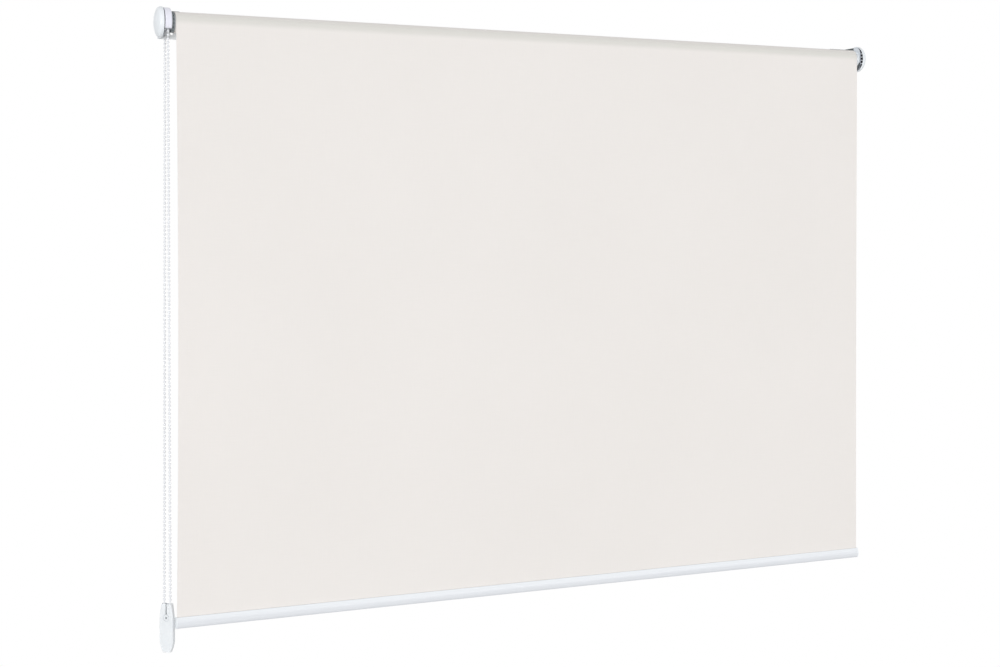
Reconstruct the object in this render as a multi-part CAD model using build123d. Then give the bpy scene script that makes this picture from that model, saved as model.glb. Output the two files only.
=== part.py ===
from build123d import *
import math
import os

# A chain-operated roller blind, in millimetres.
# +X runs along the roller from the chain end to the idle end, +Y points into the wall, +Z is up.
# The origin is the middle of the four wall screw holes, on the wall, level with the roller's axis.

# Cloth
fabric_width = 1269.0
fabric_drop = 914.0
fabric_thickness = 0.5
turn_spacing = 0.6
turns_left = 3
edge_waist_chain_side = 2.5
edge_waist_idle_side = 0.7

# Roller tube
tube_diameter = 28.0
tube_wall = 1.0
tube_key_depth = 1.2
tube_key_width = 1.5

# Brackets
wall_to_axis = 34.0
plate_thickness = 1.5
flange_height = 44.0
flange_length = 38.0
flange_corner = 5.0
bend_radius = 2.5
plate_reach = 15.5
plate_corner = 13.5
screw_hole_diameter = 4.5
screw_hole_spacing = 26.0
screw_hole_inset = 22.0
chain_side_gap = 17.5
idle_side_gap = 8.0
cap_peg_diameter = 3.8
cap_peg_setback = 16.0
cap_peg_spacing = 18.0

# Domed covers
cap_diameter = 47.5
cap_height = 11.5
cap_rim = 2.0
cap_corner = 6.0
cap_wall = 1.5
cap_rib_spacing = 6.0
cap_rib_thickness = 1.2
cap_rib_count = 4

# Chain guard
guard_diameter = 45.0
guard_depth = 11.0
guard_wall = 1.6
guard_end_wall = 1.2
guard_corner = 2.5
guide_wall = 1.2
guide_clearance = 0.8
guard_drop = 11.0

# Chain
bead_diameter = 4.5
bead_pitch = 6.0
cord_diameter = 1.2
wheel_pockets = 12
wheel_width = 7.0
wheel_diameter = 25.0
wheel_inset = 2.5
pocket_clearance = 0.2

# Clutch
stub_side = 8.0
core_flange_diameter = 18.0
core_flange_thickness = 2.0
core_diameter = 12.8
core_length = 40.5
core_chamfer = 0.6
core_groove_depth = 0.8
ring_thickness = 1.0
ring_diameter = 16.4
skirt_inner_diameter = 17.2
skirt_wall = 1.15
skirt_sweep = 160.0
drum_rib_sweep = 60.0
drum_collar_diameter = 31.5
drum_collar_width = 4.5
drum_collar_grooves = 16
drum_groove_width = 3.0
drum_groove_depth = 1.4
drum_web_thickness = 1.0
spring_wire = 1.3
spring_pitch = 1.6
spring_turns = 4 + 230.0 / 360.0
spring_spacing = 10.0
spring_inset = 2.0
spring_start_angle = 65.0

# Idle end
pin_diameter = 6.0
pin_flange_diameter = 11.4
pin_flange_thickness = 1.5
pin_chamfer = 0.8
pin_reach = 2.0
pin_tail = 8.5
plug_length = 34.0
plug_collar_diameter = 30.0
plug_collar_width = 4.0
plug_mouth_length = 5.0
plug_bore_diameter = 12.0
plug_cap_thickness = 1.5
plug_cap_spigot = 3.0
idle_spring_wire = 0.9
idle_spring_diameter = 9.2
idle_spring_turns = 6

# Bottom bar
bar_height = 17.0
bar_depth = 10.5
bar_crown = 3.0
bar_wall = 1.2
bar_corner = 1.0
bar_slot = 1.4
channel_width = 4.2
channel_height = 4.2
retainer_width = 3.6
retainer_height = 3.4
end_cap_thickness = 2.0
end_cap_tongue = 8.0
bar_top_play = 0.4

# Chain tensioner
tensioner_drop = 916.5
tensioner_above = 21.5
tensioner_length = 75.0
tensioner_width = 23.4
tensioner_top_width = 17.0
tensioner_bottom_width = 12.0
tensioner_shoulder_drop = 2.3
tensioner_hip_drop = 34.0
tensioner_shoulder_bulge = 0.25
tensioner_hip_bulge = 1.2
tensioner_thickness = 7.4
tensioner_twist = 48.0
tensioner_wall = 0.9
tensioner_edge = 0.7
post_diameter = 5.8
post_hole_diameter = 4.0
eye_ring_diameter = 11.0
eye_ring_width = 0.9
eye_ring_depth = 0.5
front_slot_width = 1.6
channel_margin = 0.9

# Clearances
running_gap = 0.06
easy_gap = 0.15
seat_gap = 0.1
end_play = 0.6
cutter_overshoot = 2.0

# Places worked out from the sizes above
half_span = (fabric_width + chain_side_gap + idle_side_gap) / 2 + plate_thickness
left_inner = plate_thickness - half_span
right_inner = half_span - plate_thickness
fabric_left = left_inner + chain_side_gap
fabric_right = right_inner - idle_side_gap
axis_y = -wall_to_axis
tube_radius = tube_diameter / 2
tube_bore = tube_radius - tube_wall
roll_radius = tube_radius + seat_gap + fabric_thickness + turns_left * turn_spacing
panel_front = axis_y - roll_radius
wheel_left = left_inner + wheel_inset
wheel_right = wheel_left + wheel_width
chain_x = wheel_left + wheel_width / 2
chain_radius = bead_pitch * wheel_pockets / (2 * math.pi)
guard_left = left_inner + seat_gap
guard_right = guard_left + guard_depth
drum_left = guard_right + end_play
tube_left = drum_left + drum_collar_width
core_end = left_inner + core_length
core_radius = core_diameter / 2
ring_seat = core_end - 2 * ring_thickness - seat_gap
drum_web_end = ring_seat - seat_gap
drum_web_start = drum_web_end - drum_web_thickness
skirt_outer = skirt_inner_diameter / 2 + skirt_wall
plug_right = right_inner - end_play
tube_right = plug_right - plug_collar_width
plug_left = tube_right - plug_length
pin_shoulder = plug_right - plug_mouth_length - end_play / 2
twist = math.radians(tensioner_twist)
across = Vector(math.sin(twist), -math.cos(twist), 0)
facing = Vector(-math.cos(twist), -math.sin(twist), 0)
post_centre = Vector(chain_x, axis_y, -tensioner_drop)
post_path_radius = post_diameter / 2 + bead_diameter / 2 + running_gap


def disc(start, end, radius):
    """A cylinder on the roller's axis, from one x to another."""
    return Pos((start + end) / 2, axis_y, 0) * Rot(0, 90, 0) * Cylinder(radius, end - start)


def ring(start, end, outer, inner):
    return disc(start, end, outer) - disc(start, end, inner)


def sector(start, end, outer, inner, middle, sweep):
    """Part of a ring on the roller's axis. Angles run from +Y towards +Z, in degrees."""
    section = Polyline((start, inner), (end, inner), (end, outer), (start, outer), close=True)
    solid = revolve(make_face(section), Axis.X, sweep)
    return Pos(0, axis_y, 0) * Rot(middle - sweep / 2, 0, 0) * solid


def rod_along_y(x, z, radius, start, end):
    return Pos(x, (start + end) / 2, z) * Rot(90, 0, 0) * Cylinder(radius, end - start)


def rod_along_x(y, z, radius, start, end):
    return Pos((start + end) / 2, y, z) * Rot(0, 90, 0) * Cylinder(radius, end - start)


def save(shape, name):
    shape.label = name
    export_step(shape, f"parts/{name}.step")


# Brackets: a folded steel plate, with a rounded side and a flange on the wall

def bracket_blank():
    """The chain side's bracket, without the hole for the roller."""
    outer = -half_span
    side = Rectangle(plate_thickness, wall_to_axis + plate_reach, align=(Align.MIN, Align.MAX))
    flange = Rectangle(flange_length, plate_thickness, align=(Align.MIN, Align.MAX))
    fold = side + flange
    outside = fold.vertices().sort_by(lambda v: v.X + 10 * abs(v.Y))[0]
    fold = fillet(outside, bend_radius)
    inside = min(fold.vertices(), key=lambda v: abs(v.X - plate_thickness) + abs(v.Y + plate_thickness))
    fold = fillet(inside, bend_radius - plate_thickness)
    blank = Pos(outer, 0, -flange_height / 2) * extrude(fold, flange_height)
    blank = blank & (Pos(outer, 0, 0) * side_outline())
    corners = blank.edges().filter_by(Axis.Y).group_by(Axis.X)[-1]
    blank = fillet(corners, flange_corner)
    through = plate_thickness + cutter_overshoot
    for z in (-screw_hole_spacing / 2, screw_hole_spacing / 2):
        screw_x = outer + screw_hole_inset
        blank -= rod_along_y(screw_x, z, screw_hole_diameter / 2, -through, cutter_overshoot)
    for z in (-cap_peg_spacing / 2, cap_peg_spacing / 2):
        peg_y = axis_y + cap_peg_setback
        hole_radius = cap_peg_diameter / 2 + easy_gap
        blank -= rod_along_x(peg_y, z, hole_radius, outer - cutter_overshoot, outer + through)
    return blank


def side_outline():
    """The side plate's outline seen along the roller, as a prism as long as the flange."""
    length = wall_to_axis + plate_reach + cutter_overshoot
    plate = Rectangle(length, flange_height, align=(Align.MIN, Align.CENTER))
    front = (Pos(axis_y - plate_reach, 0) * plate).face()
    front = fillet(front.vertices().group_by(Axis.X)[0], plate_corner)
    return extrude(Plane.YZ * front, flange_length + cutter_overshoot)


def make_chain_side_bracket():
    hole = stub_side + 2 * easy_gap
    depth = 2 * (plate_thickness + cutter_overshoot)
    return bracket_blank() - Pos(-half_span, axis_y, 0) * Box(depth, hole, hole)


def make_idle_side_bracket():
    hole_radius = pin_diameter / 2 + running_gap
    hole = disc(right_inner - cutter_overshoot, half_span + cutter_overshoot, hole_radius)
    return mirror(bracket_blank(), Plane.YZ) - hole


# Domed covers, moulded with ribs that stand on the plate and two pegs that go into it

def dome(height, radius, corner):
    """A solid dome about the X axis: a straight rim, a round corner and a shallow crown."""
    rise = height - cap_rim
    crown = (corner**2 - rise**2 - (radius - corner) ** 2) / (2 * (corner - rise))
    crown_x = height - crown
    corner_y = radius - corner
    lean = math.atan2(corner_y, cap_rim - crown_x)
    joint = (crown_x + crown * math.cos(lean), crown * math.sin(lean))
    half = (lean + math.pi / 2) / 2
    corner_middle = (cap_rim + corner * math.cos(half), corner_y + corner * math.sin(half))
    crown_middle = (crown_x + crown * math.cos(lean / 2), crown * math.sin(lean / 2))
    edge = Polyline((height, 0), (0, 0), (0, radius), (cap_rim, radius))
    edge += ThreePointArc((cap_rim, radius), corner_middle, joint)
    edge += ThreePointArc(joint, crown_middle, (height, 0))
    return revolve(make_face(edge), Axis.X)


def make_cap():
    """The idle side's cover, with its open side at x = 0 and the roller's axis on X."""
    radius = cap_diameter / 2
    outside = dome(cap_height, radius, cap_corner)
    inside = dome(cap_height - cap_wall, radius - cap_wall, cap_corner - cap_wall)
    shell = outside - inside
    room = 2 * pin_reach
    boss = Pos(room / 2, 0, 0) * Rot(0, 90, 0) * Cylinder(stub_side, room)
    for i in range(cap_rib_count):
        z = (i - (cap_rib_count - 1) / 2) * cap_rib_spacing
        rib = Pos(0, 0, z) * Box(2 * cap_height, cap_diameter, cap_rib_thickness)
        shell += (rib & inside) - boss
    plate_room = Pos(-plate_thickness / 2, 0, 0) * Rot(0, 90, 0) * Cylinder(radius, plate_thickness)
    peg_room = outside + plate_room
    for z in (-cap_peg_spacing / 2, cap_peg_spacing / 2):
        peg = rod_along_x(cap_peg_setback, z, cap_peg_diameter / 2, -plate_thickness, cap_height)
        shell += peg & peg_room
    return Pos(half_span, axis_y, 0) * shell


# Chain guard: a hood over the wheel, open to the bracket and below, where the chain comes out

def make_chain_guard():
    radius = guard_diameter / 2
    cup = disc(guard_left, guard_right, radius)
    cup = fillet(cup.edges().group_by(Axis.X)[-1], guard_corner)
    cup -= disc(guard_left - cutter_overshoot, guard_right - guard_end_wall, radius - guard_wall)
    guide_inner = chain_radius + bead_diameter / 2 + guide_clearance
    floor = guard_right - guard_end_wall / 2
    cup += sector(wheel_left, floor, guide_inner + guide_wall, guide_inner, 90, 180)
    below = Box(guard_diameter, guard_diameter, guard_diameter)
    cup -= Pos(guard_left, axis_y, -guard_drop - radius) * below
    return cup - disc(guard_left, guard_right + cutter_overshoot, skirt_outer + 2 * easy_gap)


# Clutch: the core is fixed in the bracket, two springs grip it, and the wheel and drum turn on it

def make_clutch_core():
    stub = Pos(left_inner - plate_thickness / 2, axis_y, 0) * Box(plate_thickness, stub_side, stub_side)
    flange_start = left_inner + seat_gap
    flange_end = flange_start + core_flange_thickness
    core = disc(left_inner - seat_gap, flange_end, stub_side / 2) + stub
    core += disc(flange_start, flange_end, core_flange_diameter / 2)
    core += disc(flange_end, core_end, core_radius)
    core = chamfer(core.edges().group_by(Axis.X)[-1], core_chamfer)
    groove_end = ring_seat + ring_thickness + seat_gap
    return core - ring(ring_seat, groove_end, core_diameter, core_radius - core_groove_depth)


def make_clutch_retaining_ring():
    start = ring_seat + seat_gap / 2
    bore = core_radius - core_groove_depth + running_gap
    whole = ring(start, start + ring_thickness, ring_diameter / 2, bore)
    gap = Pos(start, axis_y, ring_diameter / 2) * Box(ring_diameter, core_radius, ring_diameter)
    return whole - gap


def make_chain_wheel():
    wheel = disc(wheel_left, wheel_right, wheel_diameter / 2)
    cord_groove = cord_diameter / 2 + easy_gap
    wheel -= ring(chain_x - cord_groove, chain_x + cord_groove, wheel_diameter, chain_radius - cord_groove)
    pocket = Sphere(bead_diameter / 2 + pocket_clearance)
    for i in range(wheel_pockets):
        angle = (i + 0.5) * 2 * math.pi / wheel_pockets
        y = axis_y + chain_radius * math.cos(angle)
        wheel -= Pos(chain_x, y, chain_radius * math.sin(angle)) * pocket
    sleeve_end = drum_left - seat_gap
    wheel += ring(wheel_right - seat_gap, sleeve_end, skirt_outer, skirt_inner_diameter / 2)
    skirt_end = drum_web_start - end_play
    skirt_start = sleeve_end - seat_gap
    wheel += sector(skirt_start, skirt_end, skirt_outer, skirt_inner_diameter / 2, 180, skirt_sweep)
    bore_end = wheel_right + cutter_overshoot
    return wheel - disc(wheel_left - cutter_overshoot, bore_end, core_radius + running_gap)


def make_drive_drum():
    bore = skirt_outer + easy_gap
    body_radius = tube_bore - seat_gap
    drum = ring(drum_left, tube_left, drum_collar_diameter / 2, bore)
    groove_end = tube_left - drum_collar_width / 4
    groove_floor = drum_collar_diameter / 2 - drum_groove_depth
    groove = Box(2 * drum_collar_width, drum_groove_width, 2 * drum_groove_depth)
    for i in range(drum_collar_grooves):
        turn = Rot((i + 0.5) * 360 / drum_collar_grooves, 0, 0)
        place = Pos(groove_end - drum_collar_width, 0, groove_floor + drum_groove_depth)
        drum -= Pos(0, axis_y, 0) * turn * place * groove
    drum += ring(tube_left - seat_gap, core_end, body_radius, bore)
    drum += ring(drum_web_start, drum_web_end, bore + seat_gap, core_radius + running_gap)
    rib_inner = skirt_inner_diameter / 2
    drum += sector(tube_left, drum_web_start + seat_gap, bore + seat_gap, rib_inner, 0, drum_rib_sweep)
    return drum - key_grooves(tube_left, core_end, body_radius)


def key_grooves(start, end, radius):
    """The room that a plug in the tube leaves for the tube's two keys."""
    depth = tube_key_depth + easy_gap
    width = tube_key_width + 2 * easy_gap
    length = end - start + cutter_overshoot
    key = Box(length, width, depth + cutter_overshoot, align=(Align.MIN, Align.CENTER, Align.MIN))
    upper = Pos(start, axis_y, tube_bore - depth) * key
    lower = Pos(start, axis_y, -tube_bore - cutter_overshoot) * key
    return upper + lower


def make_clutch_springs():
    coil_radius = core_radius + seat_gap / 2 + spring_wire / 2
    tang_end = skirt_inner_diameter / 2 + skirt_wall / 2
    springs = []
    for i in range(2):
        coil = Helix(spring_pitch, spring_pitch * spring_turns, coil_radius, direction=(1, 0, 0))
        section = Plane(coil @ 0, z_dir=coil % 0) * Rectangle(spring_wire, spring_wire)
        wire = sweep(section, path=coil, is_frenet=True)
        first = coil @ 0
        tang_length = tang_end - coil_radius
        for end in (coil @ 0, coil @ 1):
            out = Vector(0, end.Y, end.Z).normalized()
            tang = Pos(tang_length / 2, 0, 0) * Box(tang_length, spring_wire, spring_wire)
            wire += Plane(end, x_dir=out, z_dir=(1, 0, 0)) * tang
        turn = spring_start_angle - math.degrees(math.atan2(first.Z, first.Y))
        start = tube_left + spring_inset + i * spring_spacing
        springs.append(Pos(start, axis_y, 0) * Rot(turn, 0, 0) * wire)
    return Compound(springs)


# Roller tube, with two keys along its bore that the drum and the plug engage

def make_roller_tube():
    keys = Rectangle(tube_key_width, tube_key_depth + tube_wall / 2, align=(Align.CENTER, Align.MIN))
    section = Circle(tube_radius) - Circle(tube_bore)
    section += Pos(0, tube_bore - tube_key_depth) * keys
    section += Pos(0, -tube_bore - tube_wall / 2) * keys
    return Pos(tube_left, axis_y, 0) * extrude(Plane.YZ * section, tube_right - tube_left)


# Idle end: a plug in the tube turns on a sprung pin that sits in the bracket

def make_idle_plug():
    body_radius = tube_bore - seat_gap
    plug = disc(plug_left, tube_right + seat_gap, body_radius)
    plug += disc(tube_right, plug_right, plug_collar_diameter / 2)
    plug -= disc(plug_left - cutter_overshoot, plug_right - plug_mouth_length, plug_bore_diameter / 2)
    plug -= disc(plug_left, plug_right + cutter_overshoot, pin_diameter / 2 + running_gap)
    return plug - key_grooves(plug_left - cutter_overshoot / 2, tube_right - cutter_overshoot, body_radius)


def make_idle_plug_cap():
    end = plug_left - seat_gap
    closing = disc(end - plug_cap_thickness, end, tube_bore - tube_key_depth - easy_gap)
    spigot_end = plug_left + plug_cap_spigot
    return closing + disc(plug_left - plug_cap_thickness, spigot_end, plug_bore_diameter / 2 - seat_gap)


def make_idle_pin():
    flange_start = pin_shoulder - pin_flange_thickness
    pin = disc(flange_start - pin_tail, half_span + pin_reach, pin_diameter / 2)
    pin = chamfer(pin.edges().group_by(Axis.X)[-1], pin_chamfer)
    return pin + disc(flange_start, pin_shoulder, pin_flange_diameter / 2)


def make_idle_spring():
    start = plug_left + plug_cap_spigot + seat_gap + idle_spring_wire / 2
    end = pin_shoulder - pin_flange_thickness - seat_gap - idle_spring_wire / 2
    radius = (idle_spring_diameter - idle_spring_wire) / 2
    coil = Helix((end - start) / idle_spring_turns, end - start, radius, direction=(1, 0, 0))
    section = RegularPolygon(idle_spring_wire / 2, 6)
    wire = sweep(Plane(coil @ 0, z_dir=coil % 0) * section, path=coil, is_frenet=True)
    return Pos(start, axis_y, 0) * wire


# Cloth: the turns left on the tube, and the panel that hangs from the front of the roll

def make_fabric_roll():
    """The turns are half circles, the upper ones about the roller's axis and the lower ones aside."""
    outer = half_turns(roll_radius)
    inner = half_turns(roll_radius - fabric_thickness)
    ends = [Line(outer[0] @ 0, inner[0] @ 0), Line(outer[-1] @ 1, inner[-1] @ 1)]
    section = make_face(outer + inner + ends)
    return Pos(fabric_left, axis_y, 0) * extrude(Plane.YZ * section, fabric_width)


def half_turns(radius):
    """One side of the spiral, as arcs from the front of the roll inwards."""
    arcs = []
    for i in range(turns_left):
        upper = radius - i * turn_spacing
        lower = upper - turn_spacing / 2
        shift = turn_spacing / 2
        arcs.append(ThreePointArc((-upper, 0), (0, upper), (upper, 0)))
        arcs.append(ThreePointArc((upper, 0), (shift, -lower), (shift - lower, 0)))
    return arcs


def make_fabric_panel():
    """A flat cloth whose free edges draw in a little half way down. Its foot is in the bar's channel."""
    top = -seat_gap
    bottom = retainer_top() + seat_gap
    middle = (top + bottom) / 2
    outline = Line((fabric_left, top), (fabric_right, top))
    outline += ThreePointArc(
        (fabric_right, top), (fabric_right - edge_waist_idle_side, middle), (fabric_right, bottom)
    )
    outline += Line((fabric_right, bottom), (fabric_left, bottom))
    outline += ThreePointArc(
        (fabric_left, bottom), (fabric_left + edge_waist_chain_side, middle), (fabric_left, top)
    )
    face = Pos(0, panel_front, 0) * (Plane.XZ * make_face(outline))
    return extrude(face, fabric_thickness, dir=(0, 1, 0))


# Bottom bar: a hollow section with a crowned front, and a channel that grips the cloth's retaining strip

def bar_outline(inset):
    """The bar's section about the cloth's plane, with its top at 0. The crowned side is the room's."""
    half = bar_depth / 2 - inset
    top = -inset
    bottom = inset - bar_height
    front = -half + bar_crown
    edge = Polyline((front, top), (half, top), (half, bottom), (front, bottom))
    edge += ThreePointArc((front, bottom), (-half, (top + bottom) / 2), (front, top))
    face = make_face(edge)
    return fillet(face.vertices(), max(bar_corner - inset, 0.3))


def retainer_top():
    return -fabric_drop - bar_wall - bar_top_play


def place_bar_section(face, start, length):
    cloth_y = panel_front + fabric_thickness / 2
    return Pos(start, cloth_y, -fabric_drop) * extrude(Plane.YZ * face, length)


def bar_floor():
    """Top of the lower chamber, below the channel for the retaining strip."""
    return -(2 * bar_wall + channel_height)


def make_bottom_bar():
    section = bar_outline(0)
    channel = Rectangle(channel_width, channel_height, align=(Align.CENTER, Align.MAX))
    slot = Rectangle(bar_slot, 2 * bar_wall, align=(Align.CENTER, Align.CENTER))
    section -= Pos(0, -bar_wall) * channel
    section -= slot
    section -= lower_chamber(0)
    return place_bar_section(section, fabric_left, fabric_width)


def lower_chamber(inset):
    below = Rectangle(bar_depth, bar_height, align=(Align.CENTER, Align.MAX))
    return bar_outline(bar_wall + inset) & (Pos(0, bar_floor() - inset) * below)


def make_bar_end_cap(start, tongue_start):
    cap = place_bar_section(bar_outline(0), start, end_cap_thickness)
    tongue = place_bar_section(lower_chamber(easy_gap), tongue_start, end_cap_tongue + seat_gap)
    return cap + tongue


def make_fabric_retainer():
    strip = Rectangle(retainer_width, retainer_height, align=(Align.CENTER, Align.MAX))
    strip = fillet(strip.vertices(), retainer_height / 4)
    strip = Pos(0, retainer_top() + fabric_drop) * strip
    return place_bar_section(strip, fabric_left + end_play, fabric_width - 2 * end_play)


# Bead chain: a loop over the wheel and round the post of the tensioner

def chain_route():
    """The chain's middle line: from the wheel's top down its front, round the post and up its back."""
    top = chain_radius
    foot = post_centre.Z - post_path_radius
    near = Vector(chain_x, axis_y, foot) + across * post_path_radius
    far = Vector(chain_x, axis_y, foot) - across * post_path_radius
    points = [
        (chain_x, axis_y - running_gap, top),
        (chain_x, axis_y - chain_radius, top),
        tuple(near),
        tuple(far),
        (chain_x, axis_y + chain_radius, top),
        (chain_x, axis_y + running_gap, top),
    ]
    wheel_bend = chain_radius - 2 * seat_gap
    post_bend = post_path_radius - seat_gap
    return FilletPolyline(*points, radius=(wheel_bend, post_bend, post_bend, wheel_bend))


def make_chain_cord():
    route = chain_route()
    print("chain length", round(route.length, 1))
    print("bends", round(chain_radius, 2), round(post_path_radius, 2))
    start = Plane(route @ 0, z_dir=route % 0)
    return sweep(start * RegularPolygon(cord_diameter / 2, 6), path=route)


def bead():
    """A bead as a ball of twenty flat faces, whose size is the bead's between opposite corners."""
    long = (1 + math.sqrt(5)) / 2
    corners = []
    for a in (-1, 1):
        for b in (-long, long):
            corners += [Vector(0, a, b), Vector(a, b, 0), Vector(b, 0, a)]
    scale = bead_diameter / 2 / corners[0].length
    faces = []
    for i in range(len(corners)):
        for j in range(i):
            for k in range(j):
                three = (corners[i], corners[j], corners[k])
                sides = (three[0] - three[1], three[1] - three[2], three[2] - three[0])
                if max(side.length for side in sides) < 2.1:
                    faces.append(make_face(Polyline(*[c * scale for c in three], close=True)))
    return Solid(Shell(faces))


def make_chain_beads():
    route = chain_route()
    count = round(route.length / bead_pitch)
    one = bead()
    return Compound([Pos(*(route @ ((i + 0.5) / count))) * one for i in range(count)])


# Tensioner: a flat weight in two shells that hangs in the foot of the loop

def tensioner_place(depth):
    """A plane across the tensioner, depth in front of its middle, with x across and y up."""
    return Plane(post_centre + facing * depth, x_dir=across, z_dir=facing)


def tensioner_outline(inset):
    top = tensioner_above - inset
    bottom = tensioner_above - tensioner_length + inset
    wide = tensioner_width / 2 - inset
    top_half = tensioner_top_width / 2 - inset
    bottom_half = tensioner_bottom_width / 2 - inset
    sides = []
    for side in (-1, 1):
        shoulder = (side * wide, -tensioner_shoulder_drop)
        hip = (side * wide, -tensioner_hip_drop)
        sides.append(SagittaArc((side * top_half, top), shoulder, side * tensioner_shoulder_bulge))
        sides.append(Line(shoulder, hip))
        sides.append(SagittaArc(hip, (side * bottom_half, bottom), side * tensioner_hip_bulge))
    ends = [Line((-top_half, top), (top_half, top)), Line((-bottom_half, bottom), (bottom_half, bottom))]
    return make_face(sides + ends)


def tensioner_shell(side):
    """Half of the casing, with room for the chain: side is 1 for the front and -1 for the back."""
    half = tensioner_thickness / 2
    solid = extrude(tensioner_place(0) * tensioner_outline(0), side * half, dir=facing)
    rim = solid.edges().group_by(lambda e: side * (e.center() - post_centre).dot(facing))[-1]
    solid = chamfer(rim, tensioner_edge)
    chain_reach = post_path_radius + bead_diameter / 2
    room_width = 2 * (chain_reach + channel_margin)
    room = Circle(room_width / 2)
    room += Rectangle(room_width, 2 * tensioner_above, align=(Align.CENTER, Align.MIN))
    mouth = Rectangle(2 * (chain_reach + easy_gap), 2 * cutter_overshoot)
    room = room & (tensioner_outline(channel_margin) + Pos(0, tensioner_above) * mouth)
    return solid - extrude(tensioner_place(0) * room, side * (half - tensioner_wall), dir=facing)


def make_tensioner_front():
    half = tensioner_thickness / 2
    front = tensioner_shell(1)
    post = extrude(tensioner_place(-half) * Circle(post_diameter / 2), tensioner_thickness, dir=facing)
    front += post
    front -= extrude(tensioner_place(-2 * half) * Circle(post_hole_diameter / 2), 4 * half, dir=facing)
    eye = Circle(eye_ring_diameter / 2) - Circle(eye_ring_diameter / 2 - eye_ring_width)
    front -= extrude(tensioner_place(half - eye_ring_depth) * eye, half, dir=facing)
    slot = Rectangle(front_slot_width, tensioner_above, align=(Align.CENTER, Align.MIN))
    slot = Pos(0, eye_ring_diameter / 2) * slot
    return front - extrude(tensioner_place(half - 2 * tensioner_wall) * slot, half, dir=facing)


def make_tensioner_back():
    half = tensioner_thickness / 2
    back = Pos(*(facing * -running_gap)) * tensioner_shell(-1)
    hole = Circle(post_diameter / 2 + running_gap)
    return back - extrude(tensioner_place(-2 * half) * hole, 2 * half, dir=facing)


os.makedirs("parts", exist_ok=True)
save(make_chain_side_bracket(), "chain_side_bracket")
save(make_idle_side_bracket(), "idle_side_bracket")
save(mirror(make_cap(), Plane.YZ), "chain_side_cap")
save(make_cap(), "idle_side_cap")
save(make_chain_guard(), "chain_guard")
save(make_clutch_core(), "clutch_core")
save(make_clutch_springs(), "clutch_springs")
save(make_clutch_retaining_ring(), "clutch_retaining_ring")
save(make_chain_wheel(), "chain_wheel")
save(make_drive_drum(), "drive_drum")
save(make_roller_tube(), "roller_tube")
save(make_idle_plug(), "idle_plug")
save(make_idle_plug_cap(), "idle_plug_cap")
save(make_idle_pin(), "idle_pin")
save(make_idle_spring(), "idle_spring")
save(make_fabric_roll(), "fabric_roll")
save(make_fabric_panel(), "fabric_panel")
save(make_bottom_bar(), "bottom_bar")
tongue_left = fabric_left - seat_gap
tongue_right = fabric_right - end_cap_tongue
save(make_bar_end_cap(fabric_left - end_cap_thickness, tongue_left), "bar_end_cap_chain_side")
save(make_bar_end_cap(fabric_right, tongue_right), "bar_end_cap_idle_side")
save(make_fabric_retainer(), "fabric_retainer")
save(make_chain_cord(), "chain_cord")
save(make_chain_beads(), "chain_beads")
save(make_tensioner_front(), "tensioner_front")
save(make_tensioner_back(), "tensioner_back")
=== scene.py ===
import math

import bmesh
import bpy
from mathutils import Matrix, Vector


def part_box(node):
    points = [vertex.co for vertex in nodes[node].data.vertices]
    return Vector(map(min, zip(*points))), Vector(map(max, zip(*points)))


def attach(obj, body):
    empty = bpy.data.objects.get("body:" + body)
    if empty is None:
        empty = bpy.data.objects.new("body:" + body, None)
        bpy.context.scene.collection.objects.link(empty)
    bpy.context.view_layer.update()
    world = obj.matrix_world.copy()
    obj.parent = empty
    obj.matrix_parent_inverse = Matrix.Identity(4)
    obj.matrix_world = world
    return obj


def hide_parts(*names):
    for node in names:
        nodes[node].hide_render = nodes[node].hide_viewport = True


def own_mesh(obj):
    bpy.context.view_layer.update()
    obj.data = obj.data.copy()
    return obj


# A chain-operated roller blind: the look of its cloth, plastic, metal and chain.
# +X runs along the roller from the chain end to the idle end, +Y points into the wall, and +Z is up.
# Lengths are in metres.

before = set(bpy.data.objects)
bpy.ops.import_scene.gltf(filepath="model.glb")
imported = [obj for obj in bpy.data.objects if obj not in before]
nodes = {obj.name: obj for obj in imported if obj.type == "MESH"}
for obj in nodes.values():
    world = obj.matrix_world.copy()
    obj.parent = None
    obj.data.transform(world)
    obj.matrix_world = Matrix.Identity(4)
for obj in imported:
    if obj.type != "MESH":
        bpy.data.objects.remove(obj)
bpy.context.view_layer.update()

# Sizes that the part has too
fabric_drop = 0.914
fabric_thickness = 0.0005
fabric_left = -0.62975
fabric_right = 0.63925
roll_radius = 0.0164
axis_y = -0.034
half_span = 0.64875
plate_thickness = 0.0015
bend_radius = 0.0025
cover_bore = 0.02225
chain_x = -0.64125
chain_radius = 0.011459
post_path_radius = 0.00521
bead_radius = 0.00225
bead_pitch = 0.006
cord_radius = 0.0006
tensioner_drop = 0.9165
tensioner_twist = math.radians(48)
eye_ring_radius = 0.00505
spring_wire = 0.00045
spring_coil = 0.00415
spring_turns = 6

# Across the weight's flat face, level
across = Vector((math.sin(tensioner_twist), -math.cos(tensioner_twist), 0))

# Camera, as the photograph was taken: angles, and the lens in pixels of the picture
camera_place = (-1.1179, -2.3884, -0.3172)
camera_turn = math.radians(66.23)
camera_dip = math.radians(0.388)
camera_focal = 1525.3
centre_row = 238.9
picture_width = 1000
picture_height = 667
sensor_width = 36


def make_camera():
    data = bpy.data.cameras.new("camera")
    data.sensor_width = sensor_width
    data.lens = camera_focal / picture_width * sensor_width
    data.shift_y = (centre_row - picture_height / 2) / picture_width
    data.clip_start = 0.01
    data.clip_end = 50
    camera = bpy.data.objects.new("camera", data)
    camera.location = camera_place
    camera.rotation_euler = (math.pi / 2 - camera_dip, 0, camera_turn - math.pi / 2)
    bpy.context.scene.collection.objects.link(camera)
    bpy.context.scene.camera = camera


# Materials

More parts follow.
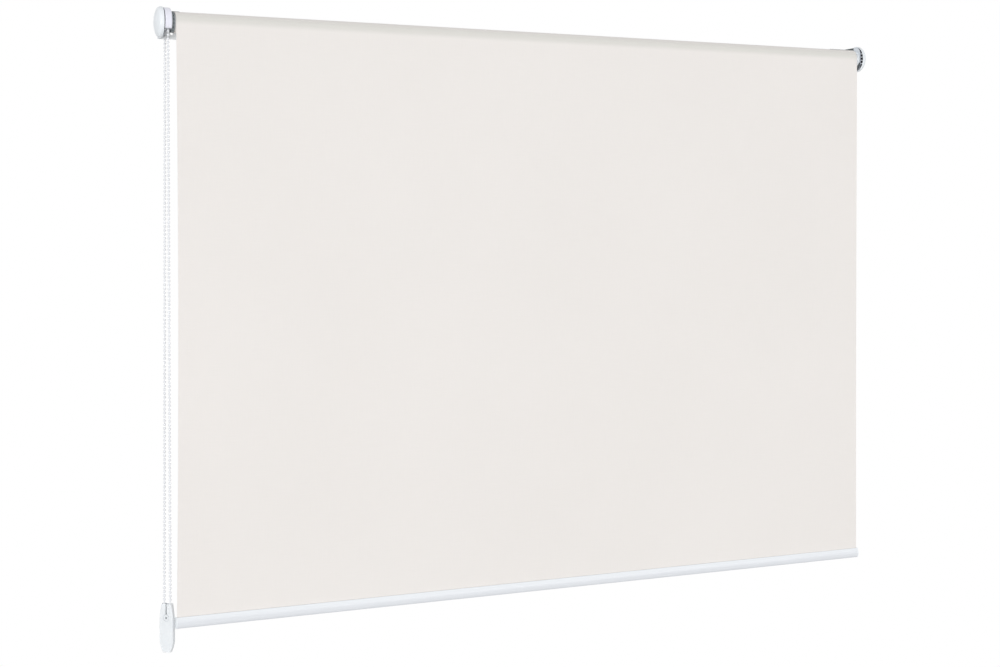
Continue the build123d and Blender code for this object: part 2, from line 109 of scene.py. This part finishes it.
def srgb(r, g, b):
    """A colour picked from 0 to 255, as Blender's linear colour."""
    out = []
    for v in (r, g, b):
        c = v / 255
        out.append(c / 12.92 if c <= 0.04045 else ((c + 0.055) / 1.055) ** 2.4)
    return (*out, 1)


class Shader:
    """A material's node tree, with short names for what the materials below need."""

    def __init__(self, name, colour, roughness):
        self.material = bpy.data.materials.new(name)
        self.material.use_nodes = True
        self.tree = self.material.node_tree
        self.surface = self.tree.nodes["Principled BSDF"]
        self.set("Base Color", colour)
        self.set("Roughness", roughness)
        self.coords = self.node("ShaderNodeTexCoord")

    def set(self, socket, value):
        self.surface.inputs[socket].default_value = value

    def node(self, kind, **settings):
        made = self.tree.nodes.new(kind)
        for key, value in settings.items():
            setattr(made, key, value)
        return made

    def link(self, a, b):
        self.tree.links.new(a, b)

    def math(self, operation, a, b=None):
        made = self.node("ShaderNodeMath", operation=operation)
        for slot, value in enumerate((a, b)):
            if value is None:
                continue
            if isinstance(value, (int, float)):
                made.inputs[slot].default_value = value
            else:
                self.link(value, made.inputs[slot])
        return made.outputs[0]

    def both(self, a, b):
        """1 only where both masks are 1."""
        return self.math("MULTIPLY", a, b)

    def split(self, which):
        """The x, y and z of Object, the place on the part, or of Normal, the way that its surface faces."""
        made = self.node("ShaderNodeSeparateXYZ")
        self.link(self.coords.outputs[which], made.inputs[0])
        return made.outputs

    def distance(self, a, b):
        """The length of a line that goes a one way and b at right angles to it."""
        return self.math("SQRT", self.math("ADD", self.math("MULTIPLY", a, a), self.math("MULTIPLY", b, b)))

    def noise(self, scale, detail=3.0, rough=0.5, stretch=(1, 1, 1)):
        mapping = self.node("ShaderNodeMapping")
        mapping.inputs["Scale"].default_value = stretch
        self.link(self.coords.outputs["Object"], mapping.inputs["Vector"])
        made = self.node("ShaderNodeTexNoise")
        made.inputs["Scale"].default_value = scale
        made.inputs["Detail"].default_value = detail
        made.inputs["Roughness"].default_value = rough
        self.link(mapping.outputs[0], made.inputs["Vector"])
        return made.outputs["Fac"]

    def ramp(self, value, edge, kind="LINEAR"):
        """0 up to the start of a soft edge, and 1 past its end."""
        made = self.node("ShaderNodeMapRange", interpolation_type=kind)
        made.inputs["From Min"].default_value = edge[0]
        made.inputs["From Max"].default_value = edge[1]
        self.link(value, made.inputs["Value"])
        return made.outputs[0]

    def mix(self, value, low, high):
        """A colour between two, by a value from 0 to 1."""
        made = self.node("ShaderNodeMix", data_type="RGBA")
        made.inputs["A"].default_value = low
        made.inputs["B"].default_value = high
        self.link(value, made.inputs["Factor"])
        return made.outputs["Result"]

    def layer(self, mask, under, colour):
        """Lays a colour over what another mix gives, where the mask is 1."""
        made = self.node("ShaderNodeMix", data_type="RGBA")
        made.inputs["B"].default_value = colour
        self.link(mask, made.inputs["Factor"])
        self.link(under, made.inputs["A"])
        return made.outputs["Result"]

    def paint(self, colour):
        self.link(colour, self.surface.inputs["Base Color"])

    def roughness(self, value, low, high):
        made = self.node("ShaderNodeMapRange")
        made.inputs["To Min"].default_value = low
        made.inputs["To Max"].default_value = high
        self.link(value, made.inputs["Value"])
        self.link(made.outputs[0], self.surface.inputs["Roughness"])

    def coat(self, weight):
        self.set("Coat Weight", weight)
        self.set("Coat Roughness", 0.15)

    def bump(self, height, distance, strength, after=None):
        made = self.node("ShaderNodeBump")
        made.inputs["Distance"].default_value = distance
        made.inputs["Strength"].default_value = strength
        self.link(height, made.inputs["Height"])
        if after is not None:
            self.link(after.outputs["Normal"], made.inputs["Normal"])
        self.link(made.outputs["Normal"], self.surface.inputs["Normal"])
        return made

    def grain(self, scale=900.0):
        """The fine unevenness of a moulded or coated surface."""
        self.bump(self.noise(scale, 2.0), grain_depth, 0.4)


# How far a tone reaches past the face that it stops at, so that rounding leaves no spots on the face
face_slack = 0.0001

# Noise scales, and depths of bumps
cloud_scale = 35.0
grain_depth = 0.00003
thread_pitch = 0.0006
thread_depth = 0.00012
slub_depth = 0.0002
brush_depth = 0.00002

# Soft edges of tones, each as the value where the tone starts and the value where it is full. They are
# heights on the part, or y for the edges of the plate's painted shade toward the wall and toward the room,
# a facing for the bar's painted highlight and shade, and for the groove's painted shade the distance from
# the middle of the eye's ring.
# Edges of the cloth's painted shade over the roll, as heights
roll_shade_foot = (-0.005, 0.004)
roll_shade_top = (0.0155, 0.0085)
# Facings where the bar's painted highlight and painted shade start
highlight_facing = (0.08, 0.55)
foot_shade_facing = (-0.42, -0.6)
# Edge of the painted shade in the eye's groove, as a distance from the ring's line
groove_edge = (0.0008, 0.0003)
# Edges of the bracket's painted shade: on the plate, and along the flange's lip
shade_above = (0.0155, 0.0165)
shade_behind = (-0.031, -0.029)
shade_below = (-0.006, -0.0075)
shade_before = (-0.018, -0.020)
shade_lip = (0.0192, 0.0204)

# Colours as picked on a display
# The darkest cloth tone is painted shade, for the cloth over the roll
cloth_tones = {"plain": srgb(237, 233, 230), "low": srgb(231, 227, 223), "high": srgb(243, 239, 236),
               "roll_shade": srgb(224, 222, 217)}
# The darkest white tone is painted shade, for the inside of the covers
white_tones = {"plain": srgb(239, 243, 247), "deep": srgb(233, 238, 242), "hollow": srgb(128, 130, 138)}
guard_tones = {"plain": srgb(238, 238, 248), "deep": srgb(230, 231, 242)}
dark_tones = {"plain": srgb(134, 141, 144), "deep": srgb(120, 127, 130)}
chain_tones = {"plain": srgb(238, 240, 244), "deep": srgb(230, 232, 236)}
# The greyest milky tone is painted shade, for the eye's groove
milky_tones = {"plain": srgb(237, 240, 243), "deep": srgb(231, 235, 238), "groove": srgb(220, 225, 230)}
# The bar's palest tone is a painted highlight, and its darkest tone is painted shade
bar_tones = {"front": srgb(228, 231, 235), "streak": srgb(223, 226, 231), "crest_highlight": srgb(238, 242, 246),
             "foot": srgb(210, 213, 218)}
# The flange's tone is painted light, and the darkest sheet tone is painted shade
sheet_tones = {"coat": srgb(226, 232, 238), "shade": srgb(217, 223, 230), "flange": srgb(244, 248, 250),
               "edge": srgb(160, 165, 176), "painted_dark": srgb(84, 90, 92)}
spring_tones = {"plain": srgb(176, 178, 182), "deep": srgb(140, 142, 148)}
tube_tones = {"plain": srgb(232, 234, 237), "deep": srgb(214, 216, 221)}


def weave_height(shader, along, over):
    """Threads that cross over and under each other, from two lengths on the cloth."""
    u = shader.math("MULTIPLY", along, math.pi / thread_pitch)
    v = shader.math("MULTIPLY", over, math.pi / thread_pitch)
    warp = shader.math("ABSOLUTE", shader.math("SINE", u))
    weft = shader.math("ABSOLUTE", shader.math("SINE", v))
    turn = shader.math("MULTIPLY", shader.math("COSINE", u), shader.math("COSINE", v))
    warp_over = shader.math("MULTIPLY", warp, shader.math("ADD", turn, 1.0))
    weft_over = shader.math("MULTIPLY", weft, shader.math("SUBTRACT", 1.0, turn))
    return shader.math("MAXIMUM", warp_over, weft_over)


def make_cloth(name, rolled):
    """Fine plain weave in warm white. On the roll the threads run round the roller's axis. Painted shade
    makes the cloth a little darker where it bends over the roll, from the roller's level up to near the top."""
    shader = Shader(name, cloth_tones["plain"], 0.9)
    shader.set("Specular IOR Level", 0.25)
    shader.set("Sheen Weight", 0.12)
    shader.set("Sheen Roughness", 0.5)
    x, y, z = shader.split("Object")
    if rolled:
        turn = shader.math("ARCTAN2", shader.math("SUBTRACT", y, axis_y), z)
        over = shader.math("MULTIPLY", turn, roll_radius)
    else:
        over = z
    slubs_x = shader.noise(18.0, 4.0, 0.6, (60, 1, 1.5))
    slubs_z = shader.noise(18.0, 4.0, 0.6, (1.5, 1, 60))
    slubs = shader.math("ADD", slubs_x, slubs_z)
    tone = shader.math("MULTIPLY", shader.math("ADD", slubs, shader.noise(3.0)), 1 / 3)
    plain = shader.mix(tone, cloth_tones["low"], cloth_tones["high"])
    # Painted shade: the cloth over the roll's front, from the roller's level up to near the top, takes a
    # darker tone
    above_level = shader.ramp(z, roll_shade_foot, "SMOOTHSTEP")
    below_top = shader.ramp(z, roll_shade_top, "SMOOTHSTEP")
    shader.paint(shader.layer(shader.both(above_level, below_top), plain, cloth_tones["roll_shade"]))
    shader.roughness(tone, 0.82, 0.98)
    threads = shader.bump(weave_height(shader, x, over), thread_depth, 0.5)
    shader.bump(slubs, slub_depth, 0.25, after=threads)
    return shader.material


def make_plastic(name, tones, roughness, coat=0.0):
    """Moulded plastic: a faint grain, a little cloudiness in tone and gloss."""
    shader = Shader(name, tones["plain"], roughness)
    shader.coat(coat)
    cloud = shader.noise(cloud_scale)
    shader.paint(shader.mix(cloud, tones["deep"], tones["plain"]))
    shader.roughness(cloud, roughness * 0.85, roughness * 1.15)
    shader.grain()
    return shader.material


def make_cover_plastic(name, tones):
    """The covers' plastic, polished outside. Within the rim, painted shade gives the inner side a darker
    tone.
    """
    shader = Shader(name, tones["plain"], 0.45)
    shader.coat(0.05)
    x, y, z = shader.split("Object")
    facing_x = shader.split("Normal")[0]
    cloud = shader.noise(cloud_scale)
    plain = shader.mix(cloud, tones["deep"], tones["plain"])
    outward = shader.math("MULTIPLY", facing_x, shader.math("SIGN", x))
    inward = shader.math("LESS_THAN", outward, 0.02)
    from_axis = shader.distance(shader.math("SUBTRACT", y, axis_y), z)
    within = shader.math("LESS_THAN", from_axis, cover_bore + 2 * face_slack)
    past_rim = shader.math("GREATER_THAN", shader.math("ABSOLUTE", x), half_span + 3 * face_slack)
    inner = shader.both(shader.both(inward, within), past_rim)
    # Painted shade: the inner side within the rim takes a much darker tone
    shader.paint(shader.layer(inner, plain, tones["hollow"]))
    shader.roughness(cloud, 0.38, 0.52)
    shader.grain()
    return shader.material


def make_bar_enamel(name, tones):
    """White enamel, drawn along the bar. A painted highlight makes it palest over the crown's upper half,
    and painted shade makes it darkest under its foot.
    """
    shader = Shader(name, tones["front"], 0.28)
    shader.coat(0.25)
    streaks = shader.noise(160.0, 3.0, 0.5, (0.01, 1, 1))
    upward = shader.split("Normal")[2]
    plain = shader.mix(streaks, tones["streak"], tones["front"])
    # Painted highlight on faces that turn upward, and painted shade on faces that turn downward
    highlighted = shader.layer(shader.ramp(upward, highlight_facing), plain, tones["crest_highlight"])
    shader.paint(shader.layer(shader.ramp(upward, foot_shade_facing), highlighted, tones["foot"]))
    shader.roughness(streaks, 0.24, 0.32)
    shader.grain(1500.0)
    return shader.material


def make_steel(name, tones, roughness, metallic=1.0, stretch=(1, 1, 1)):
    """Sheet or drawn metal, with brushed streaks along the stretch."""
    shader = Shader(name, tones["plain"], roughness)
    shader.set("Metallic", metallic)
    streaks = shader.noise(120.0, 4.0, 0.6, stretch)
    cloud = shader.noise(40.0)
    tone = shader.math("MULTIPLY", shader.math("ADD", streaks, cloud), 0.5)
    shader.paint(shader.mix(tone, tones["deep"], tones["plain"]))
    shader.roughness(tone, roughness * 0.75, roughness * 1.25)
    shader.bump(streaks, brush_depth, 0.35)
    return shader.material


def make_coated_sheet(name, tones, roughness):
    """Sheet steel under a thin pale coat, which is thinner on the cut edges. The flange has a paler tone,
    which is painted light. Painted shade darkens the flange's lip, and the roller side of the plate along
    its top next to the flange and below the roller's pin."""
    shader = Shader(name, tones["coat"], roughness)
    x, y, z = shader.split("Object")
    facing_x, facing_y = shader.split("Normal")[:2]
    cloud = shader.noise(45.0)
    coated = shader.mix(cloud, tones["shade"], tones["coat"])

    on_flange = shader.math("GREATER_THAN", y, -(plate_thickness + face_slack))
    near_flange = shader.math("GREATER_THAN", y, -(plate_thickness + bend_radius + face_slack))
    off_flange = shader.math("SUBTRACT", 1.0, on_flange)
    flat_x = shader.both(shader.math("ABSOLUTE", facing_x), off_flange)
    flat_y = shader.both(shader.math("ABSOLUTE", facing_y), near_flange)
    cut = shader.math("LESS_THAN", shader.math("MAXIMUM", flat_x, flat_y), 0.5)

    outward = shader.math("MULTIPLY", facing_x, shader.math("SIGN", x))
    roller_side = shader.both(shader.math("LESS_THAN", outward, -0.5), off_flange)
    # Painted shade on the roller side of the plate, along its top next to the flange and below the roller's
    # pin
    upper = shader.both(shader.ramp(z, shade_above), shader.ramp(y, shade_behind))
    lower = shader.both(shader.ramp(z, shade_below), shader.ramp(y, shade_before))
    plate_shade = shader.both(roller_side, shader.math("MAXIMUM", upper, lower))
    # Painted shade along the flange's lip
    lip_shade = shader.both(on_flange, shader.ramp(z, shade_lip))

    # Painted light: the flange takes a paler tone against the shade that falls on it
    flange_lightened = shader.layer(on_flange, coated, tones["flange"])
    worn = shader.layer(cut, flange_lightened, tones["edge"])
    shader.paint(shader.layer(shader.math("MAXIMUM", plate_shade, lip_shade), worn, tones["painted_dark"]))
    shader.roughness(cloud, roughness * 0.85, roughness * 1.15)
    shader.grain(700.0)
    return shader.material


def make_milky_plastic(name, tones):
    """The weight's milky plastic lets light in, and painted shade puts a little grey in its eye's groove."""
    shader = Shader(name, tones["plain"], 0.3)
    shader.set("Subsurface Weight", 0.8)
    shader.set("Subsurface Scale", 0.001)
    shader.set("Subsurface Radius", (1.0, 1.0, 1.0))
    shader.coat(0.3)
    x, y, z = shader.split("Object")
    cloud = shader.noise(cloud_scale)
    plain = shader.mix(cloud, tones["deep"], tones["plain"])
    wide_x = shader.math("MULTIPLY", shader.math("SUBTRACT", x, chain_x), across.x)
    wide_y = shader.math("MULTIPLY", shader.math("SUBTRACT", y, axis_y), across.y)
    high = shader.math("ADD", z, tensioner_drop)
    reach = shader.distance(shader.math("ADD", wide_x, wide_y), high)
    off_ring = shader.math("ABSOLUTE", shader.math("SUBTRACT", reach, eye_ring_radius))
    # Painted shade: a greyer tone along the eye's groove
    shader.paint(shader.layer(shader.ramp(off_ring, groove_edge), plain, tones["groove"]))
    shader.roughness(cloud, 0.28, 0.38)
    shader.grain()
    return shader.material


def give(material, *names):
    for name in names:
        mesh = nodes[name].data
        mesh.materials.clear()
        mesh.materials.append(material)


cloth_flat = make_cloth("cloth_flat", False)
cloth_rolled = make_cloth("cloth_rolled", True)
white_plastic = make_plastic("white_plastic", white_tones, 0.45, 0.05)
cover_plastic = make_cover_plastic("cover_plastic", white_tones)
guard_plastic = make_plastic("guard_plastic", guard_tones, 0.3, 0.2)
dark_plastic = make_plastic("dark_plastic", dark_tones, 0.5)
chain_plastic = make_plastic("chain_plastic", chain_tones, 0.25, 0.3)
clear_plastic = make_milky_plastic("clear_plastic", milky_tones)
bracket_steel = make_coated_sheet("bracket_steel", sheet_tones, 0.42)
spring_steel = make_steel("spring_steel", spring_tones, 0.3)
tube_aluminium = make_steel("tube_aluminium", tube_tones, 0.35, 0.9, (1, 12, 12))
bar_enamel = make_bar_enamel("bar_enamel", bar_tones)

give(bracket_steel, "chain_side_bracket", "idle_side_bracket")
give(cover_plastic, "chain_side_cap", "idle_side_cap")
give(guard_plastic, "chain_guard")
give(white_plastic, "idle_plug", "chain_wheel", "bar_end_cap_chain_side", "bar_end_cap_idle_side")
give(dark_plastic, "clutch_core", "drive_drum", "idle_plug_cap", "fabric_retainer")
give(spring_steel, "clutch_retaining_ring", "clutch_springs", "idle_pin", "idle_spring")
give(tube_aluminium, "roller_tube")
give(cloth_rolled, "fabric_roll")
give(bar_enamel, "bottom_bar")
give(clear_plastic, "tensioner_front", "tensioner_back")


# Meshes: what the pieces below share

def link_mesh(name, build, material, smooth=True):
    mesh = bpy.data.meshes.new(name)
    build.to_mesh(mesh)
    build.free()
    mesh.materials.append(material)
    if smooth:
        mesh.shade_smooth()
        mesh.set_sharp_from_angle(angle=math.radians(50))
    piece = bpy.data.objects.new(name, mesh)
    bpy.context.scene.collection.objects.link(piece)
    return piece


def add_ring(build, middle, out, over, radius, sides):
    """Points round a middle, in the plane of two directions at right angles."""
    ring = []
    for k in range(sides):
        turn = 2 * math.pi * k / sides
        ring.append(build.verts.new(middle + (out * math.cos(turn) + over * math.sin(turn)) * radius))
    return ring


def join_rings(build, rings):
    """Faces from each ring to the next, and a cap at both ends."""
    sides = len(rings[0])
    for lower, upper in zip(rings, rings[1:]):
        for k in range(sides):
            after = (k + 1) % sides
            build.faces.new((lower[k], lower[after], upper[after], upper[k]))
    build.faces.new(list(reversed(rings[0])))
    build.faces.new(rings[-1])


# The cloth: it leaves the roll over its front and hangs flat into the bar

# The wrap covers this angle from the roller's level up, and has its full thickness up to the second one
wrap_angle = math.radians(112)
wrap_full = math.radians(30)
wrap_thinnest = 0.05
wrap_lift = 0.00007
cloth_inner = roll_radius + wrap_lift
cloth_outer = cloth_inner + fabric_thickness
panel_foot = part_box("fabric_panel")[0][2]
waist_left = 0.0025
waist_right = 0.0007
sway = 0.0012
cloth_columns = 128


def depth_share(z):
    """0 at the roller's level and above it, 1 at the cloth's foot."""
    return min(max(-z / fabric_drop, 0), 1)


def panel_edges(z):
    """The cloth's free edges draw in a little half way down."""
    depth = depth_share(z)
    draw = 4 * depth * (1 - depth)
    return fabric_left + waist_left * draw, fabric_right - waist_right * draw


def panel_wave(x, z):
    """Very faint unevenness of a cloth that hangs flat, gone at the roll and at the bar."""
    free = math.sin(math.pi * depth_share(z))
    wide = math.sin(5.1 * x + 0.6) * 0.5 + math.sin(11.7 * x + 2.4 * z + 1.9) * 0.3
    return sway * free * wide


def wrap_rows(steps=40):
    """The cloth's section round the front of the roll: place, outward direction and thickness at each point.
    It thins out behind the top, where it joins the turn below."""
    rows = []
    for i in range(steps + 1):
        angle = wrap_angle * (1 - i / steps)
        share = min(1, (wrap_angle - angle) / (wrap_angle - wrap_full))
        thickness = fabric_thickness * max(share * share * (3 - 2 * share), wrap_thinnest)
        out = (-math.cos(angle), math.sin(angle))
        reach = cloth_inner + thickness
        rows.append((axis_y + out[0] * reach, out[1] * reach, out, thickness))
    return rows


def hanging_rows(steps=96):
    """The cloth's section from the front of the roll straight down to the slot in the bar."""
    rows = []
    for i in range(steps + 1):
        lean = (cloth_outer - roll_radius) * i / steps
        rows.append((axis_y - cloth_outer + lean, panel_foot * i / steps, (-1, 0), fabric_thickness))
    return rows


def strip_face(build, rows, side):
    """One face of the cloth, as rows of points: side 0 is its outer face and side 1 its inner one."""
    grid = []
    for y, z, out, thickness in rows:
        left, right = panel_edges(z)
        depth = side * thickness
        line = []
        for i in range(cloth_columns + 1):
            x = left + (right - left) * i / cloth_columns
            hang = panel_wave(x, z)
            line.append(build.verts.new((x, y - out[0] * depth + hang, z - out[1] * depth)))
        grid.append(line)
    return grid


def make_cloth_strip(name, rows):
    """A thin closed sheet that follows a section from edge to edge of the cloth."""
    build = bmesh.new()
    front = strip_face(build, rows, 0)
    rear = strip_face(build, rows, 1)
    new_face = build.faces.new
    for j in range(len(rows) - 1):
        for i in range(cloth_columns):
            new_face((front[j][i], front[j + 1][i], front[j + 1][i + 1], front[j][i + 1]))
            new_face((rear[j][i], rear[j][i + 1], rear[j + 1][i + 1], rear[j + 1][i]))
        new_face((front[j][0], rear[j][0], rear[j + 1][0], front[j + 1][0]))
        new_face((front[j][-1], front[j + 1][-1], rear[j + 1][-1], rear[j][-1]))
    for i in range(cloth_columns):
        new_face((front[0][i], front[0][i + 1], rear[0][i + 1], rear[0][i]))
        new_face((front[-1][i], rear[-1][i], rear[-1][i + 1], front[-1][i + 1]))
    piece = link_mesh(name, build, cloth_flat)
    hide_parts("fabric_panel")
    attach(piece, "brackets")
    return piece


wrap = make_cloth_strip("cloth_on_roll", wrap_rows())

# As the bar rises, the hanging cloth shortens: the rest of it is on the roll
panel = make_cloth_strip("cloth_panel", hanging_rows())
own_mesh(panel)


# The idle end's spring: it shortens as the pin goes into the plug

def make_idle_spring(steps_a_turn=36, sides=12):
    low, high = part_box("idle_spring")
    start = low[0] + spring_wire
    end = high[0] - spring_wire
    steps = steps_a_turn * spring_turns
    lean = (end - start) / (2 * math.pi * spring_turns * spring_coil)
    build = bmesh.new()
    rings = []
    for i in range(steps + 1):
        turn = 2 * math.pi * spring_turns * i / steps
        middle = Vector((start + (end - start) * i / steps, axis_y, 0))
        out = Vector((0, math.cos(turn), math.sin(turn)))
        along = Vector((lean, -math.sin(turn), math.cos(turn))).normalized()
        rings.append(add_ring(build, middle + out * spring_coil, out, along.cross(out), spring_wire, sides))
    join_rings(build, rings)
    bmesh.ops.recalc_face_normals(build, faces=build.faces)
    piece = link_mesh("idle_spring_coil", build, spring_steel)
    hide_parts("idle_spring")
    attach(piece, "roller")
    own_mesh(piece)


make_idle_spring()


# The bead chain: one loop over the wheel and round the post, on the same points as the part's route

chain_gap = 0.00006


def chain_points():
    foot = -tensioner_drop - post_path_radius
    near = Vector((chain_x, axis_y, foot)) + across * post_path_radius
    far = Vector((chain_x, axis_y, foot)) - across * post_path_radius
    front_top = Vector((chain_x, axis_y - chain_radius, chain_radius))
    back_top = Vector((chain_x, axis_y + chain_radius, chain_radius))
    wheel_step = 2 * chain_radius
    post_step = 2 * post_path_radius
    front = (near - front_top).normalized()
    back = (far - back_top).normalized()
    return [
        Vector((chain_x, axis_y - chain_gap, chain_radius)),
        front_top,
        front_top + front * wheel_step,
        near - front * post_step,
        near,
        far,
        far - back * post_step,
        back_top + back * wheel_step,
        back_top,
        Vector((chain_x, axis_y + chain_gap, chain_radius)),
    ]


def make_chain_line(name, bevel):
    points = chain_points()
    data = bpy.data.curves.new(name, "CURVE")
    data.dimensions = "3D"
    data.resolution_u = 24
    data.bevel_depth = bevel
    data.bevel_resolution = 2
    data.use_fill_caps = True
    spline = data.splines.new("NURBS")
    spline.points.add(len(points) - 1)
    for slot, point in zip(spline.points, points):
        slot.co = (*point, 1)
    spline.order_u = 3
    spline.use_endpoint_u = True
    spline.resolution_u = 24
    line = bpy.data.objects.new(name, data)
    bpy.context.scene.collection.objects.link(line)
    return line


def read_chain_line():
    """The points along the chain's line, as Blender draws it."""
    guide = make_chain_line("chain_guide", 0)
    mesh = bpy.data.meshes.new_from_object(guide)
    points = [v.co.copy() for v in mesh.vertices]
    bpy.data.objects.remove(guide)
    bpy.data.meshes.remove(mesh)
    return points


def evenly_along(points, count):
    """Points at even steps along a line, with the line's direction at each."""
    lengths = [0.0]
    for a, b in zip(points, points[1:]):
        lengths.append(lengths[-1] + (b - a).length)
    total = lengths[-1]
    placed = []
    k = 0
    for i in range(count):
        want = total * (i + 0.5) / count
        while lengths[k + 1] < want:
            k += 1
        share = (want - lengths[k]) / (lengths[k + 1] - lengths[k])
        a, b = points[k], points[k + 1]
        placed.append((a.lerp(b, share), (b - a).normalized()))
    return placed


def bead_profile(steps=10, collar_radius=0.00085, collar_reach=1.1):
    """A bead's outline: the place along the chain and the radius there, with a short collar at both ends."""
    profile = []
    for i in range(steps + 1):
        turn = math.pi * i / steps
        along = -math.cos(turn) * bead_radius
        if i in (0, steps):
            along *= collar_reach
        profile.append((along, max(math.sin(turn) * bead_radius, collar_radius)))
    return profile


def make_beads(sides=16):
    points = read_chain_line()
    length = sum((b - a).length for a, b in zip(points, points[1:]))
    profile = bead_profile()
    build = bmesh.new()
    for place, direction in evenly_along(points, round(length / bead_pitch)):
        side = direction.orthogonal().normalized()
        other = direction.cross(side)
        rings = []
        for along, radius in profile:
            rings.append(add_ring(build, place + direction * along, side, other, radius, sides))
        join_rings(build, rings)
    piece = link_mesh("chain_bead_string", build, chain_plastic)
    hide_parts("chain_beads")
    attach(piece, "brackets")
    return piece


# The loop shows from end to end in the photo, so the cord's length is the loop's own
beads = make_beads()
chain = make_chain_line("chain_core", cord_radius)
chain.data.materials.append(chain_plastic)
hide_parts("chain_cord")
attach(chain, "brackets")


# Room: soft light, and a pale floor well below the blind that only sends light back up. The camera sees
# white all round.

world_light = 0.6
floor_tone = srgb(200, 200, 200)
floor_level = -2.1
floor_reach = 12.0
middle_height = -0.45


def make_world():
    """White to the camera, and in mirrored and refracted rays. A plain grey light on everything else."""
    world = bpy.data.worlds.new("studio")
    world.use_nodes = True
    bpy.context.scene.world = world
    tree = world.node_tree
    tree.nodes.clear()
    link = tree.links.new
    path = tree.nodes.new("ShaderNodeLightPath")
    seen_ray = path.outputs["Is Camera Ray"]
    for ray in ("Is Glossy Ray", "Is Transmission Ray"):
        either = tree.nodes.new("ShaderNodeMath")
        either.operation = "MAXIMUM"
        link(seen_ray, either.inputs[0])
        link(path.outputs[ray], either.inputs[1])
        seen_ray = either.outputs[0]
    mix = tree.nodes.new("ShaderNodeMixShader")
    link(seen_ray, mix.inputs[0])
    for slot, strength in ((1, world_light), (2, 1.0)):
        background = tree.nodes.new("ShaderNodeBackground")
        background.inputs["Color"].default_value = (1, 1, 1, 1)
        background.inputs["Strength"].default_value = strength
        link(background.outputs[0], mix.inputs[slot])
    output = tree.nodes.new("ShaderNodeOutputWorld")
    link(mix.outputs[0], output.inputs["Surface"])


def add_light(name, place, size, power, aim_x=0.0):
    data = bpy.data.lights.new(name, "AREA")
    data.shape = "RECTANGLE"
    data.size, data.size_y = size
    data.energy = power
    lamp = bpy.data.objects.new(name, data)
    lamp.location = place
    aim = Vector((aim_x, 0, middle_height))
    lamp.rotation_euler = (aim - Vector(place)).to_track_quat("-Z", "Y").to_euler()
    bpy.context.scene.collection.objects.link(lamp)


def make_floor():
    build = bmesh.new()
    corners = []
    for x, y in ((-1, -1), (1, -1), (1, 1), (-1, 1)):
        corners.append(build.verts.new((x * floor_reach, y * floor_reach, floor_level)))
    build.faces.new(corners)
    shader = Shader("floor", floor_tone, 0.9)
    floor = link_mesh("floor", build, shader.material, False)
    floor.visible_camera = False
    floor.visible_glossy = False
    floor.visible_transmission = False


make_world()
make_floor()

# Lamps: where each stands, its width and height, and its watts
add_light("key", (-7.0, -9.4, -0.8), (4.0, 2.2), 595)
add_light("fill", (1.6, -3.4, -0.6), (2.4, 2.0), 20, aim_x=0.4)
add_light("rear", (2.5, 8.0, 0.2), (4.0, 3.0), 190)
make_camera()
bpy.context.scene.view_settings.view_transform = "Standard"
